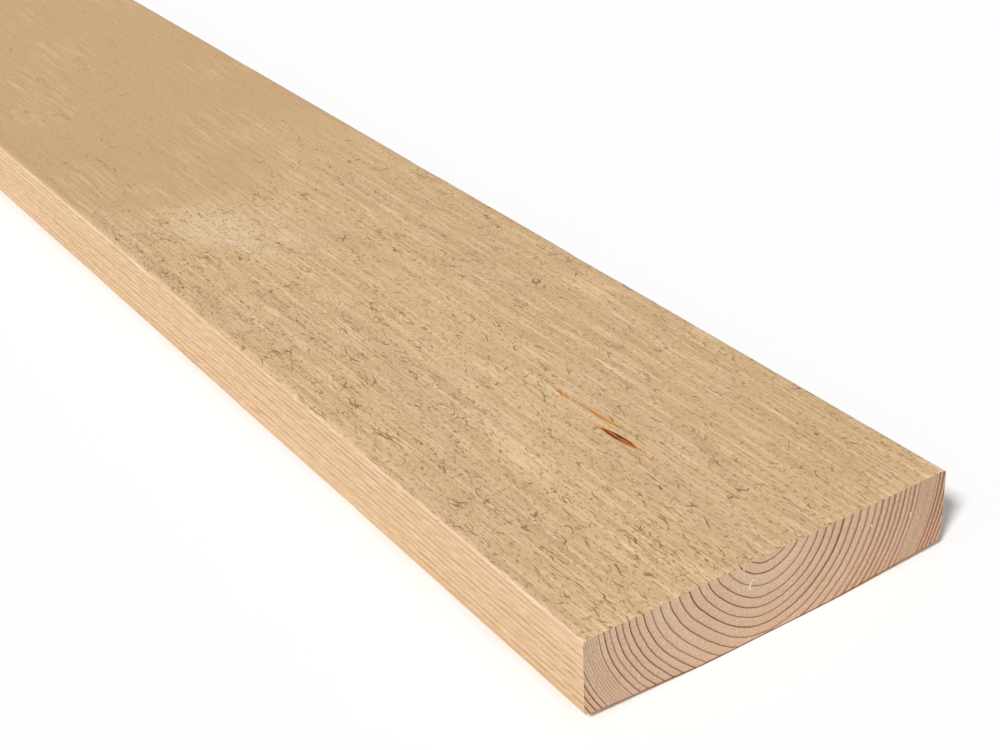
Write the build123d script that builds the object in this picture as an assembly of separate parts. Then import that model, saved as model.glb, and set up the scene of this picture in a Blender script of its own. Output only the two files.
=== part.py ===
from build123d import *
import math
import os

# Sawn softwood plank: one piece of flat-sawn stock, lying unheld on its crowned underside.
# The length runs along X, the width along Y and the thickness along Z. The origin is at the
# middle of the flat strip that the plank rests on, so the whole plank is at or above Z = 0.
# The end at +X is the sawn end that is seen close up, and the edge at -Y is the one beside it.
# All sizes are in millimetres and all angles are in degrees.

# Stock sizes
plank_length = 1800.0
plank_width = 150.0
plank_thickness = 32.0

# Crowned underside: a flat strip, an easy bend on each side of it, and a straight fall to each edge
edge_thickness = 28.5
resting_strip_width = 40.0
crown_bend_radius = 200.0

# Long corners, worn round by the saw and by handling
top_corner_radius = 2.0
bottom_corner_radius = 1.5

# Open pitch pocket in the top face, a lens in plan with walls that close towards its floor
pocket_length = 22.0
pocket_width = 3.2
pocket_depth = 1.2
pocket_from_end = 82.5
pocket_from_centre = 1.6
pocket_turn = 5.0

# Long resin seam beside the pocket
long_seam_length = 24.0
long_seam_width = 1.2
long_seam_depth = 0.5
long_seam_from_end = 96.5
long_seam_from_centre = 5.0
long_seam_turn = 4.0

# Short resin seam that carries the long one on
short_seam_length = 12.0
short_seam_width = 1.0
short_seam_depth = 0.4
short_seam_from_end = 119.0
short_seam_from_centre = 3.6
short_seam_turn = -2.5

# Floor of the pocket and the seams, as a share of the mouth
hollow_floor_share = 0.4


def crown_fall_angle():
    """Angle of the straight fall, in radians: it is tangent to the bend and ends at the edge."""
    across = (plank_width - resting_strip_width) / 2
    rise = plank_thickness - edge_thickness
    to_edge_angle = math.atan2(rise - crown_bend_radius, across)
    to_edge_distance = math.hypot(rise - crown_bend_radius, across)
    return to_edge_angle + math.pi / 2 - math.acos(crown_bend_radius / to_edge_distance)


def plank_section():
    """Cross-section in Y and Z: flat top, upright edges and a crowned underside."""
    half_width = plank_width / 2
    rise = plank_thickness - edge_thickness
    half_knee = resting_strip_width / 2 + crown_bend_radius * math.tan(crown_fall_angle() / 2)
    outline = Polyline(
        (-half_knee, 0),
        (half_knee, 0),
        (half_width, rise),
        (half_width, plank_thickness),
        (-half_width, plank_thickness),
        (-half_width, rise),
        close=True,
    )
    section = make_face(outline)
    section = fillet(section.vertices().group_by(Axis.Y)[0], crown_bend_radius)
    top_corners = section.vertices().group_by(Axis.Y)[-1]
    section = fillet(top_corners, top_corner_radius)
    bottom_corners = [
        corner
        for corner in section.vertices()
        if abs(abs(corner.X) - half_width) < 1e-6 and abs(corner.Y - rise) < 1e-6
    ]
    return fillet(bottom_corners, bottom_corner_radius)


def plank_blank():
    """The section run along the whole length, with both ends cut square."""
    return extrude(Plane.YZ * plank_section(), amount=plank_length / 2, both=True)


def lens_outline(length, width):
    """Lens in plan: two equal arcs that meet in a point at each end."""
    half_length = length / 2
    half_width = width / 2
    far_arc = ThreePointArc((-half_length, 0), (0, half_width), (half_length, 0))
    near_arc = ThreePointArc((half_length, 0), (0, -half_width), (-half_length, 0))
    return make_face([far_arc, near_arc])


def lens_hollow(length, width, depth, from_end, from_centre, turn):
    """Cutter for one lens-shaped hollow, hung from the top face and narrowing to its floor."""
    mouth = lens_outline(length, width)
    floor = Pos(0, 0, -depth) * lens_outline(length * hollow_floor_share, width * hollow_floor_share)
    place = Pos(plank_length / 2 - from_end, from_centre, plank_thickness)
    return place * Rot(0, 0, turn) * loft([floor, mouth])


def make_plank():
    """The finished plank, with its pitch pocket and both resin seams cut into the top face."""
    pocket = lens_hollow(
        pocket_length, pocket_width, pocket_depth, pocket_from_end, pocket_from_centre, pocket_turn
    )
    long_seam = lens_hollow(
        long_seam_length,
        long_seam_width,
        long_seam_depth,
        long_seam_from_end,
        long_seam_from_centre,
        long_seam_turn,
    )
    short_seam = lens_hollow(
        short_seam_length,
        short_seam_width,
        short_seam_depth,
        short_seam_from_end,
        short_seam_from_centre,
        short_seam_turn,
    )
    return plank_blank() - pocket - long_seam - short_seam


os.makedirs("parts", exist_ok=True)
plank = make_plank()
export_step(plank, "parts/plank.step")
print("plank: volume", round(plank.volume / 1e6, 3), "litres, box", plank.bounding_box().size)
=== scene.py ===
"""Looks of the sawn softwood plank: its relief, growth rings, torn fibres, resin and studio.

All places are in metres in the frame of the solid: X runs along the board towards the sawn
end that is seen close up, Y across it and Z up through it from the floor.
"""
import logging
import math
import random
from collections.abc import Callable, Iterable
from dataclasses import dataclass
from enum import Enum

import bpy
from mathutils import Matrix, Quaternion, Vector, noise


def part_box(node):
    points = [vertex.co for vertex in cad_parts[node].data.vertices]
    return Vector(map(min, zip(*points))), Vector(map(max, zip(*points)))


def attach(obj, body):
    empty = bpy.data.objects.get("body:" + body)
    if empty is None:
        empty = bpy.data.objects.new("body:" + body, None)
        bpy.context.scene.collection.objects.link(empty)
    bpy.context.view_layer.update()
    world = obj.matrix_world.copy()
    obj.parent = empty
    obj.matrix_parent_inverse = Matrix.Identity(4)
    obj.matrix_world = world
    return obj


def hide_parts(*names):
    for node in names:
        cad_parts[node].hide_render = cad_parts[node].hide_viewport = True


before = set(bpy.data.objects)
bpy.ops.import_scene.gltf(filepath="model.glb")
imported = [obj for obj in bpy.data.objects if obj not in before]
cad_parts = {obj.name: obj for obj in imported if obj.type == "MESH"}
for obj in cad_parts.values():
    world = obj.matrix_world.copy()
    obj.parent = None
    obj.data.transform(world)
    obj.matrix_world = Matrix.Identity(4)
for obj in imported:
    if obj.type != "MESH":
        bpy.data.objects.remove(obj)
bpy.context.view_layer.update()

LOG = logging.getLogger("plank")

MM = 0.001
NODE = "plank"

Point = tuple[float, float]
Place = tuple[float, float, float]
Colour = tuple[float, float, float, float]
Corners = tuple[int, ...]
Socket = bpy.types.NodeSocket
Value = Socket | float
Triple = Socket | Place
Tint = Socket | Colour


def paint(red: int, green: int, blue: int) -> Colour:
    """Turn a colour as it is seen on a screen into the linear colour that a shader takes.

    Args:
        red: Red, 0 to 255.
        green: Green, 0 to 255.
        blue: Blue, 0 to 255.

    Returns:
        The linear colour, with full alpha.
    """
    shares = (red / 255, green / 255, blue / 255)
    linear = [s / 12.92 if s <= 0.04045 else ((s + 0.055) / 1.055) ** 2.4 for s in shares]
    return (linear[0], linear[1], linear[2], 1.0)


def held(value: float, low: float = 0.0, high: float = 1.0) -> float:
    """Hold a value between two limits."""
    return min(max(value, low), high)


def ease(value: float, low: float, high: float) -> float:
    """Rise smoothly from 0 at low to 1 at high.

    Args:
        value: Where to read the curve.
        low: Where the rise starts.
        high: Where the rise ends, which may lie below low.

    Returns:
        The height of the curve, 0 to 1.
    """
    share = held((value - low) / (high - low))
    return share * share * (3 - 2 * share)


def ripple(first: float, second: float, rates: Point, layer: float) -> float:
    """Read a smooth noise, about -1 to 1, that has so many waves to a metre each way."""
    return noise.noise(Vector((first * rates[0], second * rates[1], layer)))


class Face(Enum):
    """The kinds of surface that the saws leave on a board, in the order of its finishes."""

    BROAD = 0
    EDGE = 1
    END = 2


@dataclass(frozen=True)
class BoardSection:
    """Cross-section of the board: flat top, upright edges and a crowned underside.

    The sizes repeat those of the solid, in metres.
    """

    width: float
    thickness: float
    edge_thickness: float = 28.5 * MM
    strip_width: float = 40.0 * MM
    bend_radius: float = 200.0 * MM
    top_corner: float = 2.0 * MM
    bottom_corner: float = 1.5 * MM

    def fall_angle(self) -> float:
        """Work out the angle of the straight fall from the bend to the edge.

        Returns:
            The angle, in radians.
        """
        across = (self.width - self.strip_width) / 2
        drop = self.thickness - self.edge_thickness - self.bend_radius
        tangent = math.acos(self.bend_radius / math.hypot(drop, across))
        return math.atan2(drop, across) + math.pi / 2 - tangent

    def underside(self, y: float) -> float:
        """Give the height of the underside.

        Args:
            y: Place across the board.

        Returns:
            Height above the floor.
        """
        past_strip = abs(y) - self.strip_width / 2
        if past_strip <= 0:
            return 0.0
        angle = self.fall_angle()
        bend_run = self.bend_radius * math.sin(angle)
        if past_strip <= bend_run:
            return self.bend_radius - math.sqrt(self.bend_radius**2 - past_strip**2)
        bend_rise = self.bend_radius * (1 - math.cos(angle))
        return bend_rise + (past_strip - bend_run) * math.tan(angle)


@dataclass(frozen=True)
class LensHollow:
    """A lens-shaped hollow in the top face, with walls that close towards a smaller floor."""

    length: float
    width: float
    depth: float
    from_end: float
    from_centre: float
    turn: float
    floor_share: float = 0.4

    def local(self, x: float, y: float) -> Point:
        """Give a place on the top face as seen from the hollow.

        Args:
            x: Distance ahead of the sawn end, so places on the board are below zero.
            y: Place across the board.

        Returns:
            Distances along and across the hollow, from its middle.
        """
        along = x + self.from_end
        across = y - self.from_centre
        cosine = math.cos(math.radians(self.turn))
        sine = math.sin(math.radians(self.turn))
        return along * cosine + across * sine, across * cosine - along * sine

    def share(self, x: float, y: float) -> float:
        """Tell how far out a place lies: 0 in the middle, 1 on the rim and more outside.

        Args:
            x: Distance ahead of the sawn end.
            y: Place across the board.

        Returns:
            The size of the lens through that place, as a share of the mouth.
        """
        along, across = self.local(x, y)
        side = abs(across) / (self.width / 2)
        return (side + math.sqrt(side**2 + 4 * (along / (self.length / 2)) ** 2)) / 2

    def depth_at(self, x: float, y: float) -> float:
        """Give the depth of the hollow at a place on the top face."""
        wall = (1 - self.share(x, y)) / (1 - self.floor_share)
        return self.depth * held(wall)


POCKET = LensHollow(22.0 * MM, 3.2 * MM, 1.2 * MM, 82.5 * MM, 1.6 * MM, 5.0)
LONG_SEAM = LensHollow(24.0 * MM, 1.2 * MM, 0.5 * MM, 96.5 * MM, 5.0 * MM, 4.0)
SHORT_SEAM = LensHollow(12.0 * MM, 1.0 * MM, 0.4 * MM, 119.0 * MM, 3.6 * MM, -2.5)
HOLLOWS = (POCKET, LONG_SEAM, SHORT_SEAM)


@dataclass(frozen=True)
class SawnRelief:
    """How deep the saws and wear cut below the true faces, in metres.

    Every depth runs inwards, so the dressed board never leaves the box of the solid. Rates
    are waves to a metre, along the board first.
    """

    length: float
    section: BoardSection
    top_allowance: float = 0.28 * MM
    face_allowance: float = 0.03 * MM
    streak_depth: float = 0.14 * MM
    wave_depth: float = 0.1 * MM
    corner_wear: float = 0.45 * MM
    corner_reach: float = 3.5 * MM
    chip_depth: float = 0.12 * MM
    chip_reach: float = 3.0 * MM
    seat_height: float = 2.0 * MM
    groove_rates: Point = (14.0, 520.0)
    hair_rates: Point = (40.0, 260.0)
    wave_rates: Point = (5.0, 45.0)
    dent_rates: Point = (22.0, 1.0)
    nick_rates: Point = (90.0, 1.0)
    chip_rates: Point = (330.0, 1.0)
    splinter_rates: Point = (1100.0, 1.0)
    sound_rates: Point = (40.0, 1.0)

    def streaks(self, x: float, run: float) -> float:
        """Give the fine grooves along the grain and the broad waves below them.

        Args:
            x: Place along the board.
            run: Distance round the section, so that the grooves pass over the corners.

        Returns:
            Depth below the true face.
        """
        hair = ripple(x, run, self.hair_rates, 7.1)
        groove = ripple(x, run, self.groove_rates, 0.3) + 0.5 * hair
        wave = ripple(x, run, self.wave_rates, 3.7)
        depth = self.streak_depth * (0.5 + groove / 3) + self.wave_depth * (0.5 + wave / 2)
        return held(depth, 0.0, self.streak_depth + self.wave_depth)

    def wear(self, x: float, y: float, z: float) -> float:
        """Give the wear of the long corners, in short dents with sound lengths between them.

        Args:
            x: Place along the board.
            y: Place across the board.
            z: Height.

        Returns:
            Depth below the true face.
        """
        to_edge = self.section.width / 2 - abs(y)
        to_face = min(self.section.thickness - z, z - self.section.underside(y))
        near = ease(max(to_edge, to_face), self.corner_reach, 0.0)
        side = 11.0 if y > 0 else 0.0
        level = 5.0 if z > self.section.thickness / 2 else 0.0
        dent = ripple(x, side, self.dent_rates, level)
        nick = ripple(x, side, self.nick_rates, level + 2)
        return self.corner_wear * near * max(dent + 0.6 * nick, 0.0) ** 1.5

    def chips(self, x: float, y: float, z: float) -> float:
        """Give the splinters that the crosscut saw broke out along the lower edge of an end.

        Args:
            x: Place along the board.
            y: Place across the board.
            z: Height.

        Returns:
            Depth below the true face.
        """
        from_end = self.length / 2 - abs(x)
        below = ease(z, self.section.thickness / 2, 0.0)
        reach = ease(from_end, self.chip_reach, 0.0) * below
        if reach <= 0:
            return 0.0
        end = 0.0 if x > 0 else 40.0
        chip = abs(ripple(y, end, self.chip_rates, 0.0))
        splinter = abs(ripple(y, end, self.splinter_rates, 4.0))
        torn = chip + 0.7 * splinter
        unsound = ease(ripple(y, end, self.sound_rates, 8.0), -0.3, 0.4)
        return self.chip_depth * reach * torn * unsound

    def depth(self, x: float, y: float, z: float, run: float, upward: float) -> float:
        """Give the whole depth at a place on the long faces.

        Args:
            x: Place along the board.
            y: Place across the board.
            z: Height.
            run: Distance round the section.
            upward: How far the face looks up, 1 on the top face and -1 on the underside.

        Returns:
            Depth below the true face.
        """
        base = self.face_allowance + (self.top_allowance - self.face_allowance) * max(upward, 0.0)
        cut = base + self.streaks(x, run) + self.wear(x, y, z)
        if upward > 0.9:
            cut += sum(hollow.depth_at(x - self.length / 2, y) for hollow in HOLLOWS)
        if upward < 0:
            cut = cut * ease(z, 0.0, self.seat_height) + self.chips(x, y, z)
        return cut

    def top_height(self, x: float, y: float) -> float:
        """Give the height of the finished top face at a place on it."""
        run = y + self.section.width / 2
        return self.section.thickness - self.depth(x, y, self.section.thickness, run, 1.0)


@dataclass
class DressPiece:
    """A piece of the board's dress: it makes its mesh, takes its finishes and rides along."""

    name: str
    relief: SawnRelief

    def join(self, vertices: Iterable[Place], faces: list[Corners]) -> bpy.types.Object:
        """Make the piece's mesh and put it in the scene.

        Args:
            vertices: The points of the mesh.
            faces: The corners of each face, by number of the point.

        Returns:
            The piece as one mesh object.
        """
        mesh = bpy.data.meshes.new(self.name)
        mesh.from_pydata(list(vertices), [], faces)
        mesh.update()
        piece = bpy.data.objects.new(self.name, mesh)
        bpy.context.scene.collection.objects.link(piece)
        return piece

    def dress(self, piece: bpy.types.Object, finishes: Iterable[bpy.types.Material]) -> None:
        """Give the piece its finishes and let it ride with the board.

        Args:
            piece: The piece.
            finishes: Its finishes, in order.
        """
        for finish in finishes:
            piece.data.materials.append(finish)
        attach(piece, "root")


def graded(low: float, high: float, count: int, density: Callable[[float], float]) -> list[float]:
    """Spread places over a stretch, closer where the density is higher.

    Args:
        low: First place.
        high: Last place.
        count: Number of steps between places.
        density: Gives the density at a place, above zero.

    Returns:
        The places, one more than the steps.
    """
    fine = 4000
    heaped = [0.0]
    for k in range(fine):
        heaped.append(heaped[-1] + density(low + (high - low) * (k + 0.5) / fine))
    places = [low]
    k = 0
    for step in range(1, count):
        goal = heaped[-1] * step / count
        while heaped[k + 1] < goal:
            k += 1
        part = (goal - heaped[k]) / (heaped[k + 1] - heaped[k])
        places.append(low + (high - low) * (k + part) / fine)
    places.append(high)
    return places


@dataclass
class PlankBody(DressPiece):
    """The board itself: one closed skin with sawn relief, wear on its long corners, and chips.

    The section is a grid of columns and rows, and stations repeat its outline along the board.
    """

    columns: int = 146
    rows: int = 26
    stations: int = 222
    corner_steps: int = 2
    end_bevel: float = 0.08 * MM
    end_allowance: float = 0.15 * MM
    end_marks: float = 0.12 * MM
    mark_rates: Point = (420.0, 420.0)
    hollows_across: float = 3.2 * MM
    hollows_back: float = 98 * MM
    end_stretch: float = 25 * MM

    def corner(self, side: float, upper: bool, angle: float) -> Point:
        """Give a point on a rounded corner of the section.

        Args:
            side: 1 on the far edge, -1 on the near one.
            upper: True at the top face.
            angle: 0 where the corner meets the edge, a quarter turn where it meets the face.

        Returns:
            Place across the board and height.
        """
        section = self.relief.section
        radius = section.top_corner if upper else section.bottom_corner
        y = section.width / 2 - radius + radius * math.cos(angle)
        if upper:
            return side * y, section.thickness - radius + radius * math.sin(angle)
        flat_y = section.width / 2 - radius
        return side * y, section.underside(flat_y) + radius - radius * math.sin(angle)

    def level_row(self, upper: bool) -> list[Point]:
        """Lay out one broad face from the middle of one rounded corner to that of the other.

        Args:
            upper: True for the top face, False for the underside.

        Returns:
            Place across the board and height of each column.
        """
        section = self.relief.section
        radius = section.top_corner if upper else section.bottom_corner
        flat = section.width / 2 - radius
        steps = self.corner_steps
        angles = [math.pi / 4 * (1 + k / steps) for k in range(steps)]
        near = [self.corner(-1.0, upper, angle) for angle in angles]
        far = [self.corner(1.0, upper, angle) for angle in reversed(angles)]
        places = graded(-flat, flat, self.columns - 2 * steps, self.column_density)
        height = section.thickness
        middle = [(y, height if upper else section.underside(y)) for y in places]
        return near + middle + far

    def upright_row(self, side: float) -> list[Point]:
        """Lay out one long edge from the middle of its lower corner to that of its upper one.

        Args:
            side: 1 on the far edge, -1 on the near one.

        Returns:
            Place across the board and height of each row.
        """
        steps = self.corner_steps
        angles = [math.pi / 4 * (1 - k / steps) for k in range(steps)]
        lower = [self.corner(side, False, angle) for angle in angles]
        upper = [self.corner(side, True, angle) for angle in reversed(angles)]
        low = self.corner(side, False, 0.0)
        high = self.corner(side, True, 0.0)
        count = self.rows - 2 * steps
        middle = [(low[0], low[1] + (high[1] - low[1]) * k / count) for k in range(count + 1)]
        return lower + middle + upper

    def column_density(self, y: float) -> float:
        """Draw the columns together where the pitch pocket and the resin seams are."""
        return 1.0 + 2.6 * ease(abs(y - self.hollows_across), 5.5 * MM, 3.5 * MM)

    def station_density(self, x: float) -> float:
        """Draw the stations together at the ends and over the pitch pocket and the seams.

        Args:
            x: Place along the board.

        Returns:
            The density, about 1 on plain lengths.
        """
        length, stretch = self.relief.length, self.end_stretch
        back = length / 2 - x
        ends = 2.0 * ease(back, stretch, 0.0) + 1.5 * ease(back, length - stretch, length)
        hollows = 7.0 * ease(abs(back - self.hollows_back), 34 * MM, 26 * MM)
        return 0.8 + ends + hollows + 1.4 * ease(back, 600 * MM, 100 * MM)

    def loop(self) -> list[Point]:
        """Run once round the section, from the upper near corner over the top face.

        Returns:
            Place across the board and height of each point.
        """
        top, bottom = self.level_row(upper=True), self.level_row(upper=False)
        left, right = self.upright_row(side=-1.0), self.upright_row(side=1.0)
        return top[:-1] + right[:0:-1] + bottom[:0:-1] + left[:-1]

    def rim_keys(self) -> list[tuple[int, int]]:
        """Number the points of the loop by the grid of the section.

        Returns:
            Column and row of each point.
        """
        top = [(i, self.rows) for i in range(self.columns)]
        right = [(self.columns, j) for j in range(self.rows, 0, -1)]
        bottom = [(i, 0) for i in range(self.columns, 0, -1)]
        left = [(0, j) for j in range(self.rows)]
        return top + right + bottom + left

    def ring_points(self, x: float, loop: list[Point], inset: float) -> list[Vector]:
        """Place one station of the skin, cut down by the relief.

        Args:
            x: Place along the board.
            loop: The points of the section.
            inset: How much further in the station lies, for the bevel of an end.

        Returns:
            One point for each point of the loop.
        """
        count = len(loop)
        run = 0.0
        points = []
        for k, (y, z) in enumerate(loop):
            before = loop[k - 1]
            after = loop[(k + 1) % count]
            tangent = Vector((0.0, after[0] - before[0], after[1] - before[1])).normalized()
            outward = Vector((0.0, -tangent.z, tangent.y))
            if k:
                run += math.hypot(y - before[0], z - before[1])
            cut = self.relief.depth(x, y, z, run, outward.z) + inset
            points.append(Vector((x, y, z)) - outward * cut)
        return points

    def cap_inside(
        self, rim: dict[tuple[int, int], Vector], x: float
    ) -> dict[tuple[int, int], Vector]:
        """Fill an end between its rim's points, so that the grid follows the section.

        Args:
            rim: The rim's points by column and row.
            x: Place of the end.

        Returns:
            The points inside the rim by column and row.
        """
        last_i, last_j = self.columns, self.rows
        low_y, high_y = rim[0, last_j].y, rim[last_i, last_j].y
        layer = 9.0 if x > 0 else 3.0
        inside = {}
        for i in range(1, last_i):
            u = (rim[i, last_j].y - low_y) / (high_y - low_y)
            lower = rim[0, 0].lerp(rim[last_i, 0], u)
            upper = rim[0, last_j].lerp(rim[last_i, last_j], u)
            for j in range(1, last_j):
                v = j / last_j
                upright = rim[i, 0].lerp(rim[i, last_j], v)
                level = rim[0, j].lerp(rim[last_i, j], u)
                point = upright + level - lower.lerp(upper, v)
                mark = 0.5 + 0.5 * ripple(point.y, point.z, self.mark_rates, layer)
                depth = self.end_marks * held(mark)
                inside[i, j] = Vector((x - math.copysign(depth, x), point.y, point.z))
        return inside

    def close_end(
        self, vertices: list[Vector], faces: list[Corners], start: int, x: float
    ) -> None:
        """Close one end with a grid of faces.

        Args:
            vertices: All points so far, which the end's own are added to.
            faces: All faces so far.
            start: Number of the first point of the end's rim.
            x: Place of the end.
        """
        keys = self.rim_keys()
        number = {key: start + k for k, key in enumerate(keys)}
        rim = {key: vertices[start + k] for k, key in enumerate(keys)}
        for key, point in self.cap_inside(rim, x).items():
            number[key] = len(vertices)
            vertices.append(point)
        for i in range(self.columns):
            for j in range(self.rows):
                grid = ((i, j), (i + 1, j), (i + 1, j + 1), (i, j + 1))
                corners = [number[key] for key in grid]
                faces.append(tuple(corners if x > 0 else reversed(corners)))

    def build(self) -> bpy.types.Object:
        """Make the closed skin and name the kind of each of its faces.

        Returns:
            The board as one mesh object.
        """
        loop = self.loop()
        count = len(loop)
        bevel = self.end_bevel
        end = self.relief.length / 2 - self.end_allowance
        places = graded(-end + bevel, end - bevel, self.stations, self.station_density)
        vertices: list[Vector] = []
        rings = []
        for x, inset in [(-end, bevel)] + [(x, 0.0) for x in places] + [(end, bevel)]:
            rings.append(len(vertices))
            vertices.extend(self.ring_points(x, loop, inset))
        faces: list[Corners] = []
        for start, following in zip(rings, rings[1:]):
            for k in range(count):
                after = (k + 1) % count
                faces.append((start + k, following + k, following + after, start + after))
        round_section = ([Face.BROAD] * self.columns + [Face.EDGE] * self.rows) * 2
        kinds = [kind.value for kind in round_section] * (len(rings) - 1)
        self.close_end(vertices, faces, rings[0], -end)
        self.close_end(vertices, faces, rings[-1], end)
        kinds += [Face.END.value] * (len(faces) - len(kinds))
        body = self.join((tuple(point) for point in vertices), faces)
        body.data.polygons.foreach_set("material_index", kinds)
        body.data.polygons.foreach_set("use_smooth", [kind != Face.END.value for kind in kinds])
        body.data.update()
        return body

    def dress(self, piece: bpy.types.Object, finishes: Iterable[bpy.types.Material]) -> None:
        """Give the board its finishes and put it in the place of the solid."""
        super().dress(piece, finishes)
        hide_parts(NODE)


@dataclass(frozen=True)
class Weave:
    """A noise on a face: its waves to a metre along and across the grain, and finer noises."""

    along: float
    across: float
    detail: float = 1.0
    rough: float = 0.5
    bend: float = 0.0


@dataclass(frozen=True)
class Wash:
    """A thin coat of colour that comes on as a value runs from low to high."""

    low: float
    high: float
    share: float


@dataclass(frozen=True)
class Ramp:
    """A smooth map of a value from one range to another, held at the ends."""

    low: float
    high: float
    to_low: float = 0.0
    to_high: float = 1.0


class Sheet:
    """A node tree being drawn up, with short calls for the nodes that the finishes use."""

    def __init__(self, tree: bpy.types.NodeTree) -> None:
        """Keep the tree that nodes are added to."""
        self.tree = tree

    def node(self, kind: str, **settings: object) -> bpy.types.Node:
        """Add a node.

        Args:
            kind: Kind of node, as Blender names it.
            **settings: Its options.

        Returns:
            The node.
        """
        made = self.tree.nodes.new(kind)
        for name, value in settings.items():
            setattr(made, name, value)
        return made

    def feed(self, socket: Socket, value: Value | Triple | Tint) -> None:
        """Link a socket to another node's output, or set its own value.

        Args:
            socket: The input to fill.
            value: An output socket, or a number, vector or colour.
        """
        if isinstance(value, Socket):
            self.tree.links.new(value, socket)
        else:
            socket.default_value = value

    def maths(self, operation: str, *values: Value) -> Socket:
        """Work out a number.

        Args:
            operation: What to work out, as Blender names it.
            *values: Up to three numbers.

        Returns:
            The result.
        """
        made = self.node("ShaderNodeMath", operation=operation)
        for socket, value in zip(made.inputs, (values + (0.0, 0.0))[:3]):
            self.feed(socket, value)
        return made.outputs[0]

    def plus(self, first: Value, second: Value) -> Socket:
        """Add two numbers."""
        return self.maths("ADD", first, second)

    def minus(self, first: Value, second: Value) -> Socket:
        """Take the second number from the first."""
        return self.maths("SUBTRACT", first, second)

    def times(self, first: Value, second: Value) -> Socket:
        """Multiply two numbers."""
        return self.maths("MULTIPLY", first, second)

    def times_plus(self, value: Value, factor: Value, added: Value) -> Socket:
        """Multiply a number by a factor and add another."""
        return self.maths("MULTIPLY_ADD", value, factor, added)

    def larger(self, first: Value, second: Value) -> Socket:
        """Give the larger of two numbers."""
        return self.maths("MAXIMUM", first, second)

    def smaller(self, first: Value, second: Value) -> Socket:
        """Give the smaller of two numbers."""
        return self.maths("MINIMUM", first, second)

    def squared(self, value: Value) -> Socket:
        """Square a number."""
        return self.maths("POWER", value, 2.0)

    def past(self, value: Value, start: Value) -> Socket:
        """Tell how far a number lies past a start, and 0 before it."""
        return self.larger(self.minus(value, start), 0.0)

    def spread(
        self, value: Value, low: Value, high: Value, to_low: float = 0.0, to_high: float = 1.0
    ) -> Socket:
        """Map a number smoothly from one range to another and hold it at the ends.

        Args:
            value: The number.
            low: Start of its range.
            high: End of its range.
            to_low: Result at the start.
            to_high: Result at the end.

        Returns:
            The mapped number.
        """
        made = self.node("ShaderNodeMapRange", interpolation_type="SMOOTHSTEP")
        names = ("Value", "From Min", "From Max", "To Min", "To Max")
        for name, given in zip(names, (value, low, high, to_low, to_high)):
            self.feed(made.inputs[name], given)
        return made.outputs["Result"]

    def ramp(self, value: Value, ramp: Ramp) -> Socket:
        """Map a number smoothly by a ramp."""
        return self.spread(value, ramp.low, ramp.high, ramp.to_low, ramp.to_high)

    def vector(self, operation: str, first: Triple, second: Triple) -> Socket:
        """Work out a vector from two others.

        Args:
            operation: What to work out, as Blender names it.
            first: The first vector.
            second: The second vector.

        Returns:
            The result.
        """
        made = self.node("ShaderNodeVectorMath", operation=operation)
        self.feed(made.inputs[0], first)
        self.feed(made.inputs[1], second)
        return made.outputs["Vector"]

    def split(self, vector: Triple) -> tuple[Socket, Socket, Socket]:
        """Split a vector into its three numbers.

        Args:
            vector: The vector.

        Returns:
            Its three numbers.
        """
        made = self.node("ShaderNodeSeparateXYZ")
        self.feed(made.inputs[0], vector)
        return made.outputs[0], made.outputs[1], made.outputs[2]

    def joined(self, x: Value, y: Value, z: Value = 0.0) -> Socket:
        """Join three numbers into a vector.

        Args:
            x: First number.
            y: Second number.
            z: Third number.

        Returns:
            The vector.
        """
        made = self.node("ShaderNodeCombineXYZ")
        for socket, value in zip(made.inputs, (x, y, z)):
            self.feed(socket, value)
        return made.outputs[0]

    def grain(self, plane: Triple, weave: Weave) -> Socket:
        """Make a noise on a face, stretched along the grain.

        Args:
            plane: Places along and across the grain.
            weave: How the noise is stretched and how fine it is.

        Returns:
            The noise, about 0.5 on average.
        """
        made = self.node("ShaderNodeTexNoise", noise_dimensions="2D")
        stretched = self.vector("MULTIPLY", plane, (weave.along, weave.across, 1.0))
        self.feed(made.inputs["Vector"], stretched)
        made.inputs["Scale"].default_value = 1.0
        made.inputs["Detail"].default_value = weave.detail
        made.inputs["Roughness"].default_value = weave.rough
        made.inputs["Distortion"].default_value = weave.bend
        return made.outputs["Fac"]

    def blend(self, share: Value, first: Tint, second: Tint) -> Socket:
        """Mix two colours.

        Args:
            share: How much of the second colour shows, 0 to 1.
            first: The colour below.
            second: The colour laid over it.

        Returns:
            The mixed colour.
        """
        made = self.node("ShaderNodeMix", data_type="RGBA", blend_type="MIX")
        self.feed(made.inputs[0], share)
        self.feed(made.inputs[6], first)
        self.feed(made.inputs[7], second)
        return made.outputs[2]

    def coat(self, mask: Value, share: Value, first: Tint, second: Tint) -> Socket:
        """Lay a colour over another by a mask, in a share of its strength."""
        return self.blend(self.times(mask, share), first, second)

    def washed(self, value: Value, wash: Wash) -> Socket:
        """Give the strength of a wash where a value runs from low to high."""
        return self.times(self.spread(value, wash.low, wash.high), wash.share)

    def wash(self, value: Value, wash: Wash, first: Tint, second: Tint) -> Socket:
        """Lay a colour over another as a wash, where a value runs from low to high."""
        return self.blend(self.washed(value, wash), first, second)

    def heap(self, parts: tuple[tuple[Value, float], ...], base: Socket | None = None) -> Socket:
        """Add up numbers, each in its own share.

        Args:
            parts: Each number with its share.
            base: What they are added to, if anything.

        Returns:
            The sum.
        """
        for value, share in parts:
            if base is None:
                base = self.times(value, share)
            else:
                base = self.times_plus(value, share, base)
        return base

    def use(self, group: bpy.types.NodeTree, **values: Value | Triple) -> bpy.types.Node:
        """Place a group.

        Args:
            group: The group.
            **values: Its inputs, whose names have underscores for blanks.

        Returns:
            The group's node.
        """
        made = self.node("ShaderNodeGroup", node_tree=group)
        for name, value in values.items():
            self.feed(made.inputs[name.replace("_", " ")], value)
        return made


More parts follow.
